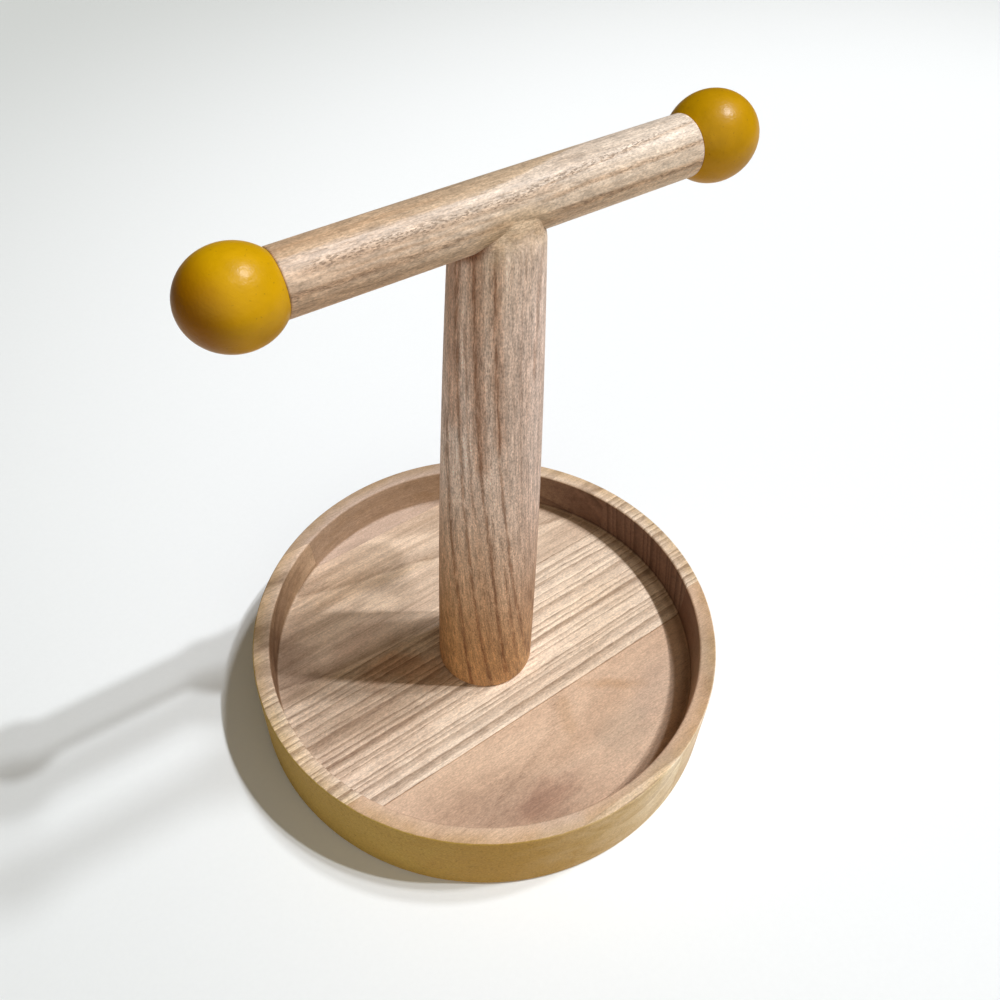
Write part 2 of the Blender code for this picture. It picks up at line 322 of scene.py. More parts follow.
# %% Fibres, pores and the whole of the wood
# Size along, across and through the grain in millimetres, detail, what is added to the look's seed, and
# between which values it is cut with a soft step.
WOOD_NOISE = {
    "broad": ((60, 16, 16), 2, 7, (0.3, 0.7)),
    "streak": ((70, 2.2, 2.2), 2, 9, (0.46, 0.68)),
    "fibre": ((12, 0.42, 0.42), 3, 11, (0.38, 0.72)),
    "comb": ((24, 0.9, 0.9), 3, 19, None),
    "sand": ((0.75, 0.32, 0.32), 2, 13, None),
    "mottle": ((4, 1.2, 1.2), 4, 15, None),
    "fleck": ((3, 0.24, 0.24), 1, 17, (0.54, 0.68)),
    "stray": ((30, 2.5, 2.5), 1, 23, (0.48, 0.7)),
}


def wood(place, look):
    """The wood's colour, and a height from 0 to 1 for its bumps."""
    noise, mask = {}, {}
    for name, (size, detail, shift, edges) in WOOD_NOISE.items():
        noise[name] = cloud(place, size, detail, look["seed"] + shift)
        if edges:
            mask[name] = step_between(noise[name], *edges)
    line = rings(place, look)
    crowd = maths("MAXIMUM", maths("MINIMUM", line * 1.3, 1), mask["stray"] * look["stray"])
    pores = mask["fleck"] * crowd
    colour = mixed(mask["broad"], look["pale"], look["warm"])
    for amount, share, tone in ((mask["streak"], "streaks", "streak"), (line, "contrast", "dark"),
                                (mask["fibre"], "fibre", "dark"), (pores, "pores", "pore")):
        colour = mixed(amount * look[share], colour, look[tone])
    for name in ("comb", "sand", "mottle"):
        colour = shaded(colour, swing(noise[name], look[name]) + 1)
    return colour, scaled(noise["fibre"], 0.5, 0.5) - 0.5 * pores - 0.25 * line


# %% [markdown]
# ## The looks of the boards
#
# The tray was glued up from five boards that the maker did not match. The middle one was sawn across the
# rings and has straight stripes; its neighbours were sawn along them and have soft flames. Only a set of
# numbers changes from board to board: where the middle of the tree was and how the grain slopes to it, how
# many millimetres apart the rings are, how far they stray, how sharp and even they are, how strongly each
# kind of figure shows, and the colours.

# %% The five boards' looks
GRAIN_ANGLE = math.radians(3)
BOARD_ALONG = (math.cos(GRAIN_ANGLE), math.sin(GRAIN_ANGLE), 0)
BOARD_ACROSS = (-math.sin(GRAIN_ANGLE), math.cos(GRAIN_ANGLE), 0)

PLAIN = dict(
    seed=5, pith=(-70, -60), slope=0.25, rise=0.12, gap=7, wander=26, ripple=5, fray=1.6,
    sharp=2.2, even=0.2, contrast=0.24, fibre=0.14, pores=0.35, stray=0.5, streaks=0.12, comb=0.15,
    sand=0.85, mottle=0.42, pale=(0.74, 0.53, 0.37), warm=(0.62, 0.42, 0.28),
    streak=(0.56, 0.36, 0.25), dark=(0.4, 0.24, 0.15), pore=(0.28, 0.16, 0.1),
)
STRIPED = dict(
    seed=2, pith=(-210, 60), slope=0, rise=0, gap=2.55, wander=1.6, ripple=1, fray=0.8,
    sharp=1.9, even=0.6, contrast=0.98, fibre=0.26, pores=0.45, stray=0.2, streaks=0.22, comb=0.45,
    sand=1, mottle=0.5, pale=(1, 0.82, 0.64), warm=(0.84, 0.66, 0.49),
    streak=(0.62, 0.45, 0.32), dark=(0.3, 0.18, 0.1), pore=(0.22, 0.12, 0.07),
)
FLAME = dict(
    seed=9, pith=(60, -34), slope=-0.1, rise=0.06, gap=6.5, wander=14, ripple=4, fray=1,
    sharp=1.3, even=0.4, contrast=0.78, fibre=0.28, pores=0.36, stray=0.35, streaks=0.5, comb=0.25,
    sand=0.85, mottle=0.42, pale=(0.9, 0.71, 0.53), warm=(0.76, 0.57, 0.42),
    streak=(0.48, 0.34, 0.23), dark=(0.38, 0.25, 0.16), pore=(0.26, 0.15, 0.09),
)
REAR = dict(FLAME, seed=13, contrast=0.35, pale=(0.6, 0.45, 0.35), warm=(0.52, 0.385, 0.295))
SLIVER = dict(STRIPED, seed=15, contrast=0.8)

# %% [markdown]
# ## End grain and stains
#
# Where the turned wall cuts across the boards, the open ends of the fibres drink more of the finish, so
# end grain comes out darker and browner. It is wherever the normal points along the grain. On the right,
# the wall that stands in shade, the end grain is painted darker still: that part is painted shade. The
# boards also have soft marks, most where filler, glue or a knot's edge took the finish differently; a few
# are painted shade or painted light on the floor, noted in the table of boards. Each is an oval that
# tints the wood, in the board's own millimetres, which is easier to place than a painted map.

# %% End grain
FLOOR = 12
END_FACING = (0.3, 1)
BELOW_RIM = (25.5, 24.9)
END_TINT_LEFT = (0.46, 0.365, 0.28)
# painted shade: the right-hand end grain is darker still, because that wall stands in shade
END_TINT_RIGHT_PAINTED_SHADE = (0.25, 0.172, 0.15)
END_LEFT_TO_RIGHT = (-30, 45)


def end_grain_and_painted_shade(colour, along, up):
    """The colour with dark end grain on the tray's inner wall, painted darker on the right as painted shade.
    The rim is stained on its own.
    """
    squarely = abs(facing(colour.tree, "Normal", Vector(BOARD_ALONG).normalized()))
    ends = step_between(squarely, *END_FACING) * step_between(up, *BELOW_RIM)
    tint = mixed(step_between(along, *END_LEFT_TO_RIGHT), END_TINT_LEFT, END_TINT_RIGHT_PAINTED_SHADE)
    return tinted(colour, ends, tint)


# %% A soft patch in the wood
PATCH_WOBBLE = 1.4
PATCH_EDGE = (1.3, 0.2)


def patch(place, centre, size, angle):
    """A soft-edged oval on the board's face: centre and half sizes in millimetres, 1 in its middle."""
    along, across, _ = parts_of(place)
    a, b = along - centre[0], across - centre[1]
    cosine, sine = math.cos(angle), math.sin(angle)
    far = distance((a * cosine + b * sine) / size[0], (b * cosine - a * sine) / size[1])
    wobble = swing(cloud(place, (7, 4, 4), 2, centre[0]), PATCH_WOBBLE)
    return step_between(far + wobble, *PATCH_EDGE)


# %% [markdown]
# ## The tray's painted edge
#
# Only the outside of the tray is painted, in a matt mustard. The paint was wiped back on the rim's outer
# round, so its edge is not a perfect circle. On the right, where the lamps fall on it, its colour is painted
# paler and mixed with the wood's own figure: painted light. It could be a separate skin, but it has no
# thickness worth modelling: a mask by distance from the middle puts it on each board and keeps the wood's
# fine relief.

# %% The tray's paint
PAINT = (0.43, 0.268, 0.058)
PAINT_OLIVE = (0.455, 0.315, 0.074)
# painted light: the paler colour of the wall's lit right side, and the tint and share of wood in it
PAINT_PAINTED_LIGHT = (0.88, 0.76, 0.63)
WOOD_PAINTED_LIGHT_TINT = (1.55, 1.95, 2.45)
WOOD_PAINTED_LIGHT_SHARE = 0.55
OLIVE_ENDS = (-66, -38)
PAINTED_LIGHT_SIDE = (-40, 55)
PAINT_DRIFT = 36
SPECK_EDGE = (0.6, 0.72)
SPECK_TINT = (0.62, 0.58, 0.5)


def paint_and_painted_light(place, bare):
    """Sandy mustard, olive where it is thick on the left. On the lit right it is painted paler, with the
    wood's figure in it: painted light.
    """
    sandy = cloud(place, (0.6, 0.6, 0.6), 3, 41)
    specks = step_between(cloud(place, (0.9, 0.9, 0.9), 1, 44), *SPECK_EDGE)
    drift = parts_of(place)[0] + swing(cloud(place, (9, 9, 5), 3, 37), PAINT_DRIFT)
    painted_light_mask = step_between(drift, *PAINTED_LIGHT_SIDE)
    painted_light_paint = mixed(WOOD_PAINTED_LIGHT_SHARE, PAINT_PAINTED_LIGHT, tinted(bare, 1, WOOD_PAINTED_LIGHT_TINT))
    paint = mixed(step_between(drift, *OLIVE_ENDS), PAINT_OLIVE, PAINT)
    paint = tinted(mixed(painted_light_mask, paint, painted_light_paint), specks * scaled(painted_light_mask, -0.3, 0.45), SPECK_TINT)
    return shaded(paint, sandy * scaled(painted_light_mask, -0.35, 0.75) + scaled(painted_light_mask, 0.17, 0.63))


# %% [markdown]
# ## A board, from bare wood to finished
#
# The stains go on in the order in which they happened: the end grain drank the finish, sanding left soft
# marks and two dark glue lines, a wash of paint coloured the rim, and the paint itself came last. Painted
# shade and light go on among them: darker end grain on the right, some of the marks, the floor's corner
# under the right wall, and the paint's pale right side. Each is masked by how far a point is from the
# tray's middle, how high, and where on its board.

# %% Where a board is stained
# Where each stain starts and is full, in millimetres: out from the tray's middle, up from the table,
# along the grain or across it.
RIM_OUT = (64.8, 69.6)
RIM_TINT = (0.84, 0.78, 0.62)
# painted shade: the floor's corner under the right wall, where the wall's shadow falls
PAINTED_SHADE_CORNER_OUT = (60.5, 63.5)
PAINTED_SHADE_CORNER_ALONG = (12, 36)
PAINTED_SHADE_CORNER_UP = (FLOOR + 1.2, FLOOR + 0.6)
PAINTED_SHADE_CORNER_TINT = (0.62, 0.56, 0.5)
WALL_OUT = (66.5, 66)
WALL_UP = (FLOOR + 0.3, FLOOR + 1.5)
WALL_ACROSS = (30, 50)
WALL_TINT = (0.86, 0.82, 0.74)
GLUE_WIDTH = 0.18
GLUE_EDGE = (0.12, 0)
GLUE_UP = (FLOOR + 1.2, FLOOR + 0.4)
GLUE_TINT = (0.74, 0.64, 0.56)


def glue_line(place, edge):
    """A thin, uneven line on the tray's floor, at a distance across the grain."""
    _, across, up = parts_of(place)
    off = abs(across - edge) - GLUE_WIDTH * cloud(place, (6, 6, 6), 1, edge)
    return step_between(off, *GLUE_EDGE) * step_between(up, *GLUE_UP)


def stained(place, colour, out):
    """The colour with the rim's blotchy wash, painted shade in the floor's right corner, and the inner wall
    at the back.
    """
    along, across, up = parts_of(place)
    blotch = step_between(cloud(place, (6, 6, 6), 2, 33), 0.3, 0.65)
    rim = step_between(out, *RIM_OUT) * scaled(blotch, 0.45, 0.55)
    painted_corner_shade = step_between(out, *PAINTED_SHADE_CORNER_OUT) * step_between(along, *PAINTED_SHADE_CORNER_ALONG)
    painted_corner_shade = painted_corner_shade * step_between(up, *PAINTED_SHADE_CORNER_UP)
    wall = step_between(up, *WALL_UP) * step_between(up, *BELOW_RIM)
    wall = wall * step_between(across, *WALL_ACROSS) * step_between(out, *WALL_OUT)
    for amount, tint in ((rim, RIM_TINT), (painted_corner_shade, PAINTED_SHADE_CORNER_TINT), (wall, WALL_TINT)):
        colour = tinted(colour, amount, tint)
    return colour


# %% A board's finish
PAINT_OUT = (69.64, 69.78)
WOOD_RELIEF = 0.00014


def board_finish(name, look, edges, marks_and_painted_light):
    """Wood for one board with its stains and marks, painted shade and light, its open glue lines and the
    painted wall.
    """
    finish, shader = new_finish(name, 0.6)
    place = grain_place(shader, BOARD_ALONG, BOARD_ACROSS)
    along, across, up = parts_of(place)
    colour, height = wood(place, look)
    colour = end_grain_and_painted_shade(colour, along, up)
    for centre, size, angle, tint in marks_and_painted_light:
        colour = tinted(colour, patch(place, centre, size, angle), tint)
    for edge in edges:
        colour = tinted(colour, glue_line(place, edge), GLUE_TINT)
    out = distance(along, across) + swing(cloud(place, (2.2, 2.2, 2.2), 3, 31), 0.3)
    colour = stained(place, colour, out)
    colour = mixed(step_between(out, *PAINT_OUT), colour, paint_and_painted_light(place, colour))
    dull = scaled(cloud(place, (5, 2, 2), 2, 43), 0.16, 0.54)
    join_up(shader, colour, dull, 0.3, height, WOOD_RELIEF)
    return finish


# %% [markdown]
# ## The tray
#
# The tray is turned, so it is one outline swept round the upright axis, and each board is the slice of it
# between two parallel planes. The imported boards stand 0.2 mm apart for the glue; here they meet, because a
# sanded joint closes to a line. Bisecting planes leave clean flat faces inside the joint.

# %% Turning an outline
ARC_STEPS = 8
ON_AXIS = 1e-9


def arc(centre, radius, start, end, steps=ARC_STEPS, stretch=1):
    """Points of a round, as distance from the axis and height; 0 degrees points outwards, 90 up."""
    points = []
    for i in range(steps + 1):
        angle = math.radians(start + (end - start) * i / steps)
        points.append((centre[0] + radius * math.cos(angle), centre[1] + radius * stretch * math.sin(angle)))
    return points


def in_metres(points):
    return [(r * MM, z * MM) for r, z in points]


def turned_mesh(outline, steps):
    """The outline, from pole to pole, swept round Z as a closed bmesh."""
    bm = bmesh.new()
    turns = [(math.cos(math.tau * k / steps), math.sin(math.tau * k / steps)) for k in range(steps)]
    loops = []
    for r, z in outline:
        if r < ON_AXIS:
            loops.append([bm.verts.new((0, 0, z))])
        else:
            loops.append([bm.verts.new((r * cosine, r * sine, z)) for cosine, sine in turns])
    for upper, lower in zip(loops, loops[1:]):
        for k in range(steps):
            corners = [upper[k % len(upper)], lower[k % len(lower)],
                       lower[(k + 1) % len(lower)], upper[(k + 1) % len(upper)]]
            bm.faces.new(list(dict.fromkeys(corners)))
    bmesh.ops.recalc_face_normals(bm, faces=bm.faces)
    return bm


# %% Adding a piece
SHARP_ANGLE = math.radians(35)


def placed(name, bm):
    """The bmesh as an object in the scene."""
    mesh = bpy.data.meshes.new(name)
    bm.to_mesh(mesh)
    bm.free()
    piece = bpy.data.objects.new(name, mesh)
    bpy.context.scene.collection.objects.link(piece)
    return piece


def add_piece(name, bm, finish, node):
    """A finished piece in the row frame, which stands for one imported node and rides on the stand."""
    piece = placed(name, bm)
    piece.data.shade_smooth()
    piece.data.set_sharp_from_angle(angle=SHARP_ANGLE)
    piece.data.materials.append(finish)
    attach(piece, "root")
    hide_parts(node)
    print(name, "faces", len(piece.data.polygons))


# %% The tray's outline
TRAY_RADIUS = 70
TRAY_HEIGHT = 25.7
INNER_RIM = 65.1
INNER_FLOOR = 64.6
RIM_ROUND = 0.7
COVE = 0.9
UNDER_ROUND = 1.2
FLOOR_RINGS = (8, 30, 52)
UNDER_RING = 40


def tray_outline():
    """From the middle of the floor, up the wall, over the rim and round to the middle underneath."""
    rim = TRAY_HEIGHT - RIM_ROUND
    points = [(0, FLOOR)] + [(r, FLOOR) for r in FLOOR_RINGS]
    points += arc((INNER_FLOOR - COVE, FLOOR + COVE), COVE, -90, 0)
    points += [((INNER_FLOOR + INNER_RIM) / 2, (FLOOR + TRAY_HEIGHT) / 2)]
    points += arc((INNER_RIM + RIM_ROUND, rim), RIM_ROUND, 180, 90)
    points += arc((TRAY_RADIUS - RIM_ROUND, rim), RIM_ROUND, 90, 0)
    points += [(TRAY_RADIUS, TRAY_HEIGHT / 2)]
    points += arc((TRAY_RADIUS - UNDER_ROUND, UNDER_ROUND), UNDER_ROUND, 0, -90)
    return in_metres(points + [(UNDER_RING, 0), (0, 0)])


# %% Slicing the boards
TRAY_STEPS = 288


def board_slice(low, high):
    """The part of the turned tray that lies between two planes across the grain."""
    bm = turned_mesh(tray_outline(), TRAY_STEPS)
    across = Vector(BOARD_ACROSS)
    for edge, way in ((low, -1), (high, 1)):
        if edge is None:
            continue
        geometry = list(bm.verts) + list(bm.edges) + list(bm.faces)
        cut = bmesh.ops.bisect_plane(bm, geom=geometry, plane_co=across * edge * MM, plane_no=across * way,
                                     clear_outer=True)
        rim = [e for e in cut["geom_cut"] if isinstance(e, bmesh.types.BMEdge)]
        bmesh.ops.contextual_create(bm, geom=rim)
    bmesh.ops.recalc_face_normals(bm, faces=bm.faces)
    return bm


# %% [markdown]
# ## Cutting and drilling
#
# The screw's hole, with its countersink, is cut out of the middle board, and the bar's round out of the
# post's head. Both are what a drill leaves, so a turned cutter is taken away. The exact solver keeps the
# edge clean even where the cutter only grazes the surface.

# %% Cutting one shape out of another
def carved(bm, cutter):
    """The piece with the cutter's shape taken out of it."""
    blank, drill = placed("blank", bm), placed("cutter", cutter)
    cut = blank.modifiers.new("cut", "BOOLEAN")
    cut.operation = "DIFFERENCE"
    cut.object = drill
    cut.solver = "EXACT"
    result = blank.evaluated_get(bpy.context.evaluated_depsgraph_get())
    made = bmesh.new()
    made.from_mesh(bpy.data.meshes.new_from_object(result))
    for piece in (blank, drill):
        bpy.data.objects.remove(piece)
    return made


# %% The screw's hole and countersink
# The cutter's corners, from the top down: radius and height.
SCREW_HOLE = in_metres([(0, 20), (2.5, 20), (2.5, 4.9), (4.9, 2.5), (4.9, -5), (0, -5)])
HOLE_STEPS = 48

# %% [markdown]
# ## The five boards
#
# Each board is one row: the imported node that it stands for, a slot name, its two edges across the
# grain, its look, and its soft marks. A mark is its centre along and across the grain, its half sizes, how
# far it is turned, and its tint, which is above 1 where the wood is paler. Only two of the four glue joints
# show as a line, so only those are drawn.

# %% Making the boards
GLUE_FRONT = -67.4
GLUE_MIDDLE_LOW = -26.1
GLUE_MIDDLE_HIGH = 17.5
GLUE_REAR = 58.8
OPEN_JOINTS = (GLUE_FRONT, GLUE_MIDDLE_LOW)

BOARDS = [
    ("tray_strip_front", "pale_ash", None, GLUE_FRONT, SLIVER, ()),
    ("tray_board_front", "plain_ash", GLUE_FRONT, GLUE_MIDDLE_LOW, PLAIN,
     [((-24, -46), (26, 11), -0.35, (0.76, 0.73, 0.72)),
      ((-17, -51), (12, 6), 0.05, (0.82, 0.74, 0.72)),
      ((24, -33), (10, 2.4), -0.6, (0.88, 0.82, 0.74)),
      ((34, -42), (16, 9), 0.7, (0.85, 0.85, 0.87)),
      ((16, -48), (13, 8), 0.2, (0.85, 0.87, 0.88)),
      ((48, -48), (15, 4.5), 0.83, (0.85, 0.9, 0.9)),
      ((9, -67), (17, 4), 0.1, (0.86, 0.9, 0.91)),
      ((-22, -65), (10, 4), -0.3, (1.03, 1.12, 1.26)),
      ((6, -33), (3, 9), -0.5, (0.9, 0.86, 0.8))]),
    ("tray_board_middle", "striped_ash", GLUE_MIDDLE_LOW, GLUE_MIDDLE_HIGH, STRIPED,
     [((33, -3), (20, 14), 0, (1.13, 1.14, 1.14)),
      ((-67, 5), (5, 15), 0, (1.12, 1.13, 1.09)),
      ((-5, -20), (45, 7), 0, (0.9, 0.9, 0.9)),
      ((-46, -4), (26, 22), 0, (0.8, 0.75, 0.72)),
      # painted shade: the next mark darkens and browns the floor where the post's shadow falls
      ((-24, 8), (19, 8), -0.6, (0.75, 0.6, 0.5))]),
    ("tray_board_back", "flame_ash", GLUE_MIDDLE_HIGH, GLUE_REAR, FLAME,
     # painted light: the first two marks below lighten the floor where the bar's and the far ball's shadows
     # fall
     [((-16, 33.5), (9, 4.5), -0.3, (1.36, 1.4, 1.42)),
      ((-20, 47), (19, 8), 0, (1.22, 1.21, 1.18)),
      ((-33, 25), (15, 6), 0.35, (0.86, 0.81, 0.79)),
      ((-4, 41), (14, 2.4), -0.1, (0.84, 0.8, 0.74)),
      ((-30, 44), (14, 2), 0.1, (0.82, 0.78, 0.74)),
      # painted light: the next mark lightens the far end of the post's shadow
      ((-40, 16), (22, 5), 0.1, (1.12, 1.13, 1.12)),
      ((-53, 29), (10, 13), 0, (0.68, 0.64, 0.62)),
      ((-55, 42), (10, 4.5), 0.95, (1.09, 1.08, 1.06))]),
    ("tray_strip_rear", "plain_ash", GLUE_REAR, None, REAR, ()),
]

for node, slot, low, high, look, marks_and_painted_light in BOARDS:
    edges = [edge for edge in (low, high) if edge in OPEN_JOINTS]
    finish = board_finish(node + "_finish", look, edges, marks_and_painted_light)
    slab = board_slice(low, high)
    if node == "tray_board_middle":
        slab = carved(slab, turned_mesh(SCREW_HOLE, HOLE_STEPS))
    add_piece("visual_" + node, slab, finish, node)

# %% [markdown]
# ## The post
#
# The post is turned from a darker stick, thicker at the foot, with a slight swell half way up. Its top is
# coped to the bar's round, and the two horns beside the bar are rounded over until they feather into it.
# That joint is what the eye goes to, so it is cut as the maker cut it: the outline is turned in at the
# top, and a cylinder of the bar's size is taken out.

# %% The post's outline
AXIS_HEIGHT = 168.5
BAR_RADIUS = 6.9
BAR_SWELL = 0.1
FOOT_RADIUS = 14.3
HEAD_RADIUS = 10
SWELL = 1
NECK_HEIGHT = AXIS_HEIGHT - 7
DOME_HEIGHT = AXIS_HEIGHT + 1.5
FOOT_ROUND = 1
POST_STEPS = 240
DOME_RINGS = 36
SIDE_RINGS = 40


def post_radius(z):
    t = z / AXIS_HEIGHT
    return FOOT_RADIUS + (HEAD_RADIUS - FOOT_RADIUS) * t + SWELL * (1 - (2 * t - 1) ** 2)


def post_outline():
    """From the top of the dome, down the side and round the foot."""
    neck = post_radius(NECK_HEIGHT)
    points = arc((0, NECK_HEIGHT), neck, 90, 0, DOME_RINGS, (DOME_HEIGHT - NECK_HEIGHT) / neck)[:-1]
    low = FLOOR + FOOT_ROUND
    for i in range(SIDE_RINGS + 1):
        z = NECK_HEIGHT + (low - NECK_HEIGHT) * i / SIDE_RINGS
        points.append((post_radius(z), z))
    points += arc((post_radius(low) - FOOT_ROUND, low), FOOT_ROUND, 0, -90)[1:]
    return in_metres(points + [(0, FLOOR)])


# %% [markdown]
# ## The hollow beside the bar
#
# A cope alone leaves a sharp corner all along the bar. On the real stand it was filled with glue and dust
# and sanded hollow, so the post seems to grow into the bar. Blending the two pieces would do it, but they
# have to stay separate. Instead the post's own surface is pushed out near the bar, more the closer it is,
# until it only just stays under the bar's round. On the front left the corner was never filled, so the
# hollow fades out there.

# %% Hollowing the corner
HOLLOW = 3.4
HOLLOW_SIDE = (0.6, 0.88)
HOLLOW_LEFT = (-0.5, -0.12)
HOLLOW_LEAST = 0.05
UNDER_THE_BAR = 0.03


def smooth_step(value, low, high):
    t = min(max((value - low) / (high - low), 0), 1)
    return t * t * (3 - 2 * t)


def hollow_out(bm):
    """Pushes the post's head outwards, so that it meets the bar's side in a soft hollow. The push is a
    parabola: a quarter of the hollow's width where the two surfaces touch, and nothing one width away."""
    for vertex in bm.verts:
        x, y, z = (v / MM for v in vertex.co)
        radius = math.hypot(x, y)
        if z < NECK_HEIGHT or radius < ON_AXIS / MM:
            continue
        side = abs(y) / radius
        width = HOLLOW * smooth_step(side, *HOLLOW_SIDE)
        if y < 0:
            width *= smooth_step(x / radius, *HOLLOW_LEFT)
        if width < HOLLOW_LEAST:
            continue
        bar_side = math.sqrt(max((BAR_RADIUS + BAR_SWELL) ** 2 - (z - AXIS_HEIGHT) ** 2, 0)) / side
        close = max(width - abs(radius - bar_side), 0) / width
        wanted = max(radius, bar_side - UNDER_THE_BAR) + close * close * width / 4
        vertex.co.x *= wanted / radius
        vertex.co.y *= wanted / radius


def laid_along_bar(bm, side=1, distance_out=0):
    """A piece turned upright, laid down with its top pointing outwards, at a distance from the middle."""
    move = Matrix.Translation((side * distance_out * MM, 0, AXIS_HEIGHT * MM))
    bmesh.ops.transform(bm, matrix=move @ Matrix.Rotation(side * math.pi / 2, 4, "Y"), verts=bm.verts)
    return bm


# %% [markdown]
# ## Lines along a stick
#
# Post and bar are the same wood as the tray. On a round stick the same ring shells give lines that part
# and close again, once the grain axis stands up or lies along the bar. The few lines that stand out are
# laid one by one on top. Noise makes each waver and fray, because a ruled line is the first thing that
# looks false on wood.

# %% Lines that run along a stick
LINE_FADE = 7


def veins(along, across, lines):
    """Soft lines along the grain, 0 to 1. Each line is: its place across at its start, how much it moves
    across for each millimetre along, start, end, half width and strength."""
    darkest = 0
    for place, lean, start, end, half_width, strength in lines:
        off = abs(across - scaled(along, lean, place - lean * start))
        line = step_between(off, half_width, 0.1 * half_width) * strength
        line = line * step_between(along, start, start + LINE_FADE)
        line = line * step_between(along, end, end - LINE_FADE)
        darkest = maths("MAXIMUM", line, darkest)
    return darkest


def wavering(place, across, amount, seed):
    """A place across the grain that wanders and frays a little, so that a line along it isn't ruled."""
    slow = swing(cloud(place, (22, 4, 4), 2, seed), amount)
    return across + slow + swing(cloud(place, (2.5, 0.5, 0.5), 2, seed + 2.3), amount)


def reaching(place, start, full):
    """0 before start and 1 past full, measured along the grain, with an uneven edge."""
    uneven = swing(cloud(place, (14, 5, 5), 2, start), 14)
    return step_between(parts_of(place)[0] + uneven, start, full)


def finish_stick(shader, place, colour, height, roughness, gloss):
    """Joins a stick's colour, uneven shine and fine relief to its shader."""
    dull = scaled(cloud(place, (12, 2, 2), 2, 47), 0.2, roughness - 0.1)
    join_up(shader, colour, dull, gloss, height, WOOD_RELIEF)


# %% [markdown]
# ## The bar's finish
#
# The bar is nearly white, with rows of open pores and a little more sheen, as if handled. Its back and top
# are browner; their edge is a ridge line that runs along the bar and bends away to the back on the right.
# All of this is placed by distance round the bar's girth, counted from its top towards the front. The left
# end is a little browner, the right end paler, and the glue of the joint stained the bar's middle.

# %% The bar's finish
BAR_LOOK = dict(
    seed=33, pith=(-40, 46), slope=0.03, rise=-0.03, gap=4.4, wander=5, ripple=1.6, fray=1,
    sharp=2.4, even=0.35, contrast=0.24, fibre=0.3, pores=0.58, stray=0.5, streaks=0.25, comb=0.3,
    sand=1.3, mottle=1.15, pale=(0.795, 0.67, 0.545), warm=(0.685, 0.555, 0.435),
    streak=(0.52, 0.39, 0.285), dark=(0.38, 0.24, 0.14), pore=(0.2, 0.13, 0.085),
)
BAR_ROWS = (
    (5.7, 0, -48, 9, 1.7, 0.95),
    (5.8, -0.079, -2, 44, 1.3, 1),
    (2.6, -0.079, 38, 58, 0.7, 0.8),
    (9.9, 0, -54, -2, 1.3, 0.7),
    (11.3, 0, 8, 54, 1, 0.9),
    (7.6, -0.018, 8, 56, 0.7, 0.8),
)
BAR_BANDS = (
    (6.3, 0, -50, 14, 1.3, 0.6),
    (8, 0, -42, 0, 0.7, 0.6),
    (9.9, 0, -56, 2, 1.2, 0.6),
    (5.8, -0.079, 2, 60, 0.5, 0.7),
    (11.3, 0, 6, 58, 1.6, 1),
    (13, 0, 2, 60, 1.8, 0.6),
    (7.6, -0.018, 4, 60, 0.8, 0.8),
    (0.4, 0, -56, -10, 1.2, 0.4),
)
RIDGE_PLACE = (3.29, 2.29)
RIDGE_START = -6
RIDGE_LEAN = 0.09
RIDGE_BEND = 0.0045
BAR_TOP_TINT = (0.86, 0.78, 0.655)
BAR_BAND_TINT = (0.8, 0.69, 0.59)
BAR_LEFT = (0, -42)
BAR_LEFT_TINT = (0.97, 0.9, 0.85)
BAR_RIGHT = (2, 40)
BAR_RIGHT_TINT = (1.16, 1.2, 1.235)
GLUE_STAIN_GIRTH = 12
GLUE_STAIN_SHRINK = (0.1, 0.22)
GLUE_STAIN_EDGE = (1.3, 0.5)
GLUE_STAIN_TINT = (0.88, 0.82, 0.71)
DASH_EDGE = (0.51, 0.63)
DASH_STRENGTH = 0.7


def bar_figure(place):
    """The bar's colour and height. The post's horns use it too, so that the figure runs on over the joint."""
    colour, height = wood(place, BAR_LOOK)
    along, across, through = parts_of(place)
    girth = BAR_RADIUS * maths("ARCTAN2", -across, through - AXIS_HEIGHT)
    past = maths("MAXIMUM", along - RIDGE_START, 0)
    behind = wavering(place, girth, 1.3, 73) + RIDGE_LEAN * past + RIDGE_BEND * past * past
    shrink_along, shrink_round = GLUE_STAIN_SHRINK
    far = distance(along * shrink_along, (girth - GLUE_STAIN_GIRTH) * shrink_round)
    for amount, tint in ((step_between(behind, *RIDGE_PLACE), BAR_TOP_TINT),
                         (veins(along, wavering(place, girth, 1, 75), BAR_BANDS), BAR_BAND_TINT),
                         (reaching(place, *BAR_LEFT), BAR_LEFT_TINT),
                         (reaching(place, *BAR_RIGHT), BAR_RIGHT_TINT),
                         (step_between(far, *GLUE_STAIN_EDGE), GLUE_STAIN_TINT)):
        colour = tinted(colour, amount, tint)
    dashes = step_between(cloud(place, (1, 0.34, 0.34), 2, 77), *DASH_EDGE)
    pits = dashes * veins(along, wavering(place, girth, 1, 79), BAR_ROWS)
    return mixed(pits * DASH_STRENGTH, colour, BAR_LOOK["pore"]), height - 0.5 * pits


def bar_wood():
    finish, shader = new_finish("bar_finish", 0.4)
    place = grain_place(shader, X_AXIS, Y_AXIS)
    finish_stick(shader, place, *bar_figure(place), 0.46, 0.4)
    return finish


# %% [markdown]
# ## The post's finish
#
# The post is brown heartwood with dark lines that follow its length and lean over near the foot, the way
# a branch pulls the grain aside. Some of its tones are painted light and shade: the foot is painted warm
# and dark, more on the left, for the shade and the tray's warm bounce light there; half way up the shaded
# left is painted pale and cool, and the lit right is painted darker. The head was wetted with glue and
# sanded together with the bar, so near the joint it takes the bar's own figure. On the left, the crease
# under the bar is painted dark: painted shade.

